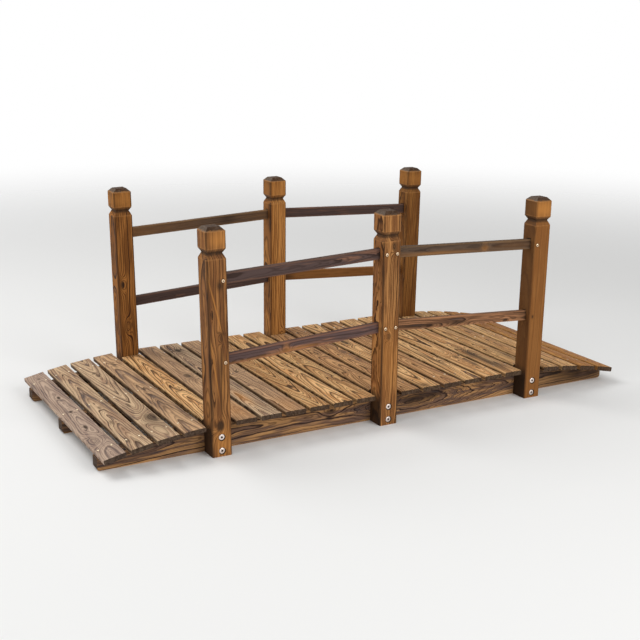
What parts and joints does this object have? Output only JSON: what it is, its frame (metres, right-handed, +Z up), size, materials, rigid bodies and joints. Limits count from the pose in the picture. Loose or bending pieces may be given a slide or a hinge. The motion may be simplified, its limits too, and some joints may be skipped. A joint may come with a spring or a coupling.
{
  "type": "garden footbridge",
  "caption": "Small wooden garden footbridge: level deck that curves down at both ends, on plank stringers, with moulded square posts and paired side rails.",
  "frame": {"origin": "on the ground, under the middle of the deck", "axes": "+X along the bridge to its right end, +Y across it to the back side, +Z up"},
  "size_m": [1.5, 0.67, 0.5502],
  "materials": {
    "deck_wood": "brushed, lightly charred, oiled",
    "post_wood": "brushed, charred, oiled",
    "rail_wood": "darkly charred, oiled",
    "stringer_wood": "darkly charred, oiled"
  },
  "bodies": {
    "root": {"deck_board_01": "deck_wood", "deck_board_02": "deck_wood", "deck_board_03": "deck_wood", "deck_board_04": "deck_wood", "deck_board_05": "deck_wood", "deck_board_06": "deck_wood", "deck_board_07": "deck_wood", "deck_board_08": "deck_wood", "deck_board_09": "deck_wood", "deck_board_10": "deck_wood", "deck_board_11": "deck_wood", "deck_board_12": "deck_wood", "deck_board_13": "deck_wood", "deck_board_14": "deck_wood", "deck_board_15": "deck_wood", "deck_board_16": "deck_wood", "deck_board_17": "deck_wood", "deck_board_18": "deck_wood", "deck_board_19": "deck_wood", "deck_board_20": "deck_wood", "deck_board_21": "deck_wood", "deck_board_22": "deck_wood", "deck_board_23": "deck_wood", "post_back_left": "post_wood", "post_back_middle": "post_wood", "post_back_right": "post_wood", "post_front_left": "post_wood", "post_front_middle": "post_wood", "post_front_right": "post_wood", "rail_back_left_lower": "rail_wood", "rail_back_left_upper": "rail_wood", "rail_back_right_lower": "rail_wood", "rail_back_right_upper": "rail_wood", "rail_front_left_lower": "rail_wood", "rail_front_left_upper": "rail_wood", "rail_front_right_lower": "rail_wood", "rail_front_right_upper": "rail_wood", "stringer_back": "stringer_wood", "stringer_front": "stringer_wood", "stringer_middle": "stringer_wood"}
  },
  "joints": []
}
